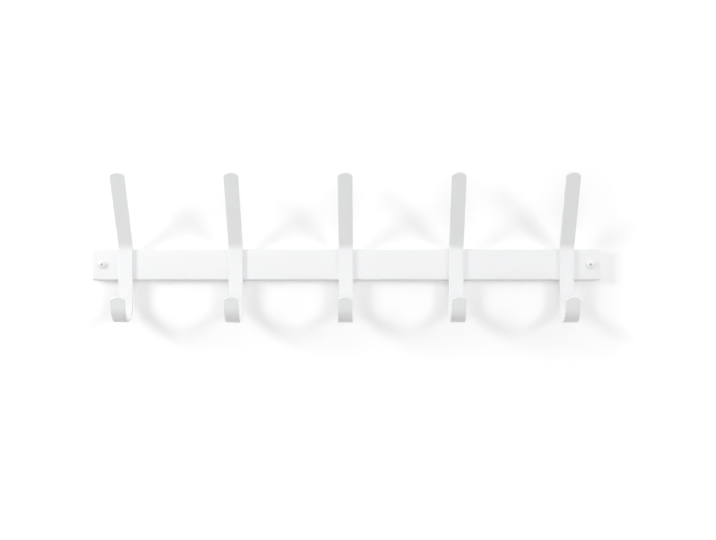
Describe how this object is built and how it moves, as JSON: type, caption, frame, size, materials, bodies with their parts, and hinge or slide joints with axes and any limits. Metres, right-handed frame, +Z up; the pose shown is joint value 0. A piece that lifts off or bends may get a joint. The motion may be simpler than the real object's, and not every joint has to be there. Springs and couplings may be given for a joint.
{
  "type": "wall coat rack",
  "caption": "White wall rack for coats: a level rail with a row of bent strip hooks, each with a leaning arm above and a round crook below.",
  "frame": {"origin": "on the wall's face, midway between the two wall screws", "axes": "+X along the rail to the right as seen from the room, +Y into the wall, +Z up"},
  "size_m": [0.6, 0.1087, 0.1725],
  "materials": {
    "powder_coat": "satin",
    "screw_coat": "satin"
  },
  "bodies": {
    "root": {"rail": "powder_coat", "hook_1": "powder_coat", "hook_2": "powder_coat", "hook_3": "powder_coat", "hook_4": "powder_coat", "hook_5": "powder_coat", "wall_screws": "screw_coat"}
  },
  "joints": []
}
